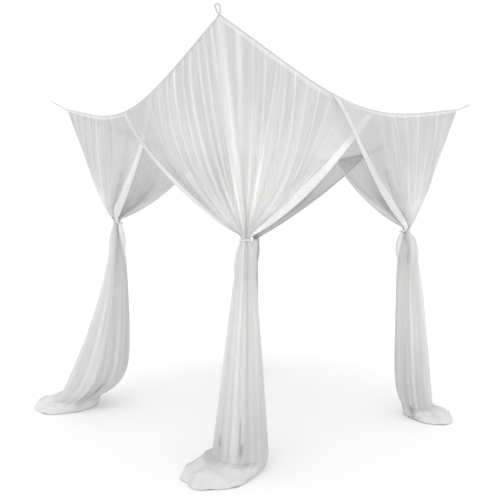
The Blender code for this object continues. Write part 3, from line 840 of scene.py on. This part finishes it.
def makeLoop(corner):
    # a cord along a long closed loop, narrow at its root, with a round eye at its far end. Its
    # section's radius is r(1 + d cos(n(angle - twist))), so that its strands wind round it
    turn, length, rise = loopShapes[corner]
    alongA, alongB = sideAxes(turn)
    out = -(alongA + alongB) / math.sqrt(2)
    rise = math.radians(rise)
    ahead = np.append(out * math.cos(rise), math.sin(rise))
    aside = np.append((alongA - alongB) / math.sqrt(2), 0.0)
    flat = np.cross(ahead, aside)
    cord = loop["cord"]
    root = np.append(cornerPoint(turn) + out * (tape["width"] / math.sqrt(2) + cord / 2 + 0.0003), hangHeight)
    half = np.linspace(-np.pi / 2, np.pi / 2, 24)
    eye, heel = (loop["eye"] + cord) / 2, cord * 0.8
    route = np.concatenate([
        np.c_[length - eye + eye * np.cos(half), eye * np.sin(half)],
        np.linspace((length - eye, eye), (heel, heel), 40)[1:-1],
        np.c_[heel - heel * np.cos(half), -heel * np.sin(half)],
        np.linspace((heel, -heel), (length - eye, -eye), 40)[1:-1],
    ])
    path = root + np.outer(route[:, 0], ahead) + np.outer(route[:, 1], aside)
    onward = unit(np.roll(path, -1, axis=0) - np.roll(path, 1, axis=0))
    sides = unit(np.cross(onward, flat))
    gone = lengths(np.concatenate([path, path[:1]])[:, None], 0)[:, 0]
    turns = round(gone[-1] / loop["twistPitch"] / loop["strands"])
    twist = gone[:-1] / gone[-1] * 2 * np.pi * turns
    angle = np.linspace(0, 2 * np.pi, 14, endpoint=False)
    wound = np.cos(loop["strands"] * (angle[None] - twist[:, None]))
    radius = cord / 2 * (1 - loop["strandDepth"] / 2 + loop["strandDepth"] / 2 * wound)
    rings = path[:, None] + sides[:, None] * (radius * np.cos(angle))[..., None]
    rings = rings + flat * (radius * np.sin(angle))[..., None]
    rings = np.concatenate([rings, rings[:1]])
    uv = np.stack(np.broadcast_arrays(gone[:, None], angle[None] * cord / 2), -1)
    piece = newPiece("cord_loop_" + corner, rings, edgeTape, uv, closedAcross=True)
    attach(piece, "root")
    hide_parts("loop_" + corner)


for sideName, sideTurn in tapeSides.items():
    makeTape(sideName, sideTurn)
for cornerName in loopShapes:
    makeTie(cornerName)
    makeLoop(cornerName)
print("trim done")
makeRoof()
for curtain in (frontCurtain, rightCurtain, backCurtain, leftCurtain):
    makeCurtain(curtain)

# ---- floor, light and camera

# the key shines from over the viewer's left shoulder, as soft as a large softbox
studio = {
    "world": 1.07, "floor": "#FAFAFA", "floorSize": 400.0,
    "key": 0.35, "keySpread": 60, "keyFrom": (-0.75, -0.55, 1.0),
}


def makeStage():
    size = studio["floorSize"] / 2
    mesh = bpy.data.meshes.new("floor")
    corners = [(-size, -size, 0), (size, -size, 0), (size, size, 0), (-size, size, 0)]
    mesh.from_pydata(corners, [], [(0, 1, 2, 3)])
    floor = bpy.data.objects.new("floor", mesh)
    material, shader = newMaterial("painted studio floor", studio["floor"], 0.9, 0.0)
    mesh.materials.append(material)
    bpy.context.scene.collection.objects.link(floor)
    world = bpy.data.worlds.new("white studio")
    world.use_nodes = True
    world.node_tree.nodes["Background"].inputs["Color"].default_value = (1, 1, 1, 1)
    world.node_tree.nodes["Background"].inputs["Strength"].default_value = studio["world"]
    bpy.context.scene.world = world
    light = bpy.data.lights.new("soft key", "SUN")
    light.energy = studio["key"]
    light.angle = math.radians(studio["keySpread"])
    lamp = bpy.data.objects.new("soft key", light)
    lamp.rotation_euler = Vector(studio["keyFrom"]).to_track_quat("Z", "Y").to_euler()
    bpy.context.scene.collection.objects.link(lamp)


view = {"fromCorner": (-1.194, -1.639), "height": 1.110, "yaw": 40.0, "roll": 0.55, "lens": 34.4}


def makeCamera():
    camera = bpy.data.objects.new("camera", bpy.data.cameras.new("camera"))
    camera.data.lens = view["lens"]
    camera.data.sensor_width = 36
    camera.data.clip_end = 500
    spot = cornerPoint(0) + np.array(view["fromCorner"])
    camera.location = (*spot, view["height"])
    camera.rotation_mode = "XYZ"
    level = np.array([math.sin(math.radians(view["yaw"])), math.cos(math.radians(view["yaw"]))])
    right = Vector((level[1], -level[0], 0))
    ahead = Vector((level[0], level[1], 0))
    up = Vector((0, 0, 1))
    roll = Matrix.Rotation(math.radians(view["roll"]), 3, ahead)
    turned = Matrix((roll.inverted() @ right, roll.inverted() @ up, -ahead)).transposed()
    camera.rotation_euler = turned.to_euler()
    bpy.context.scene.collection.objects.link(camera)
    bpy.context.scene.camera = camera


makeStage()
makeCamera()
bpy.context.scene.view_settings.view_transform = "Standard"
# a look through a leg crosses dozens of thin layers, and light is passed on between them
bpy.context.scene.cycles.transparent_max_bounces = 48
bpy.context.scene.cycles.max_bounces = 24
bpy.context.scene.cycles.diffuse_bounces = 20
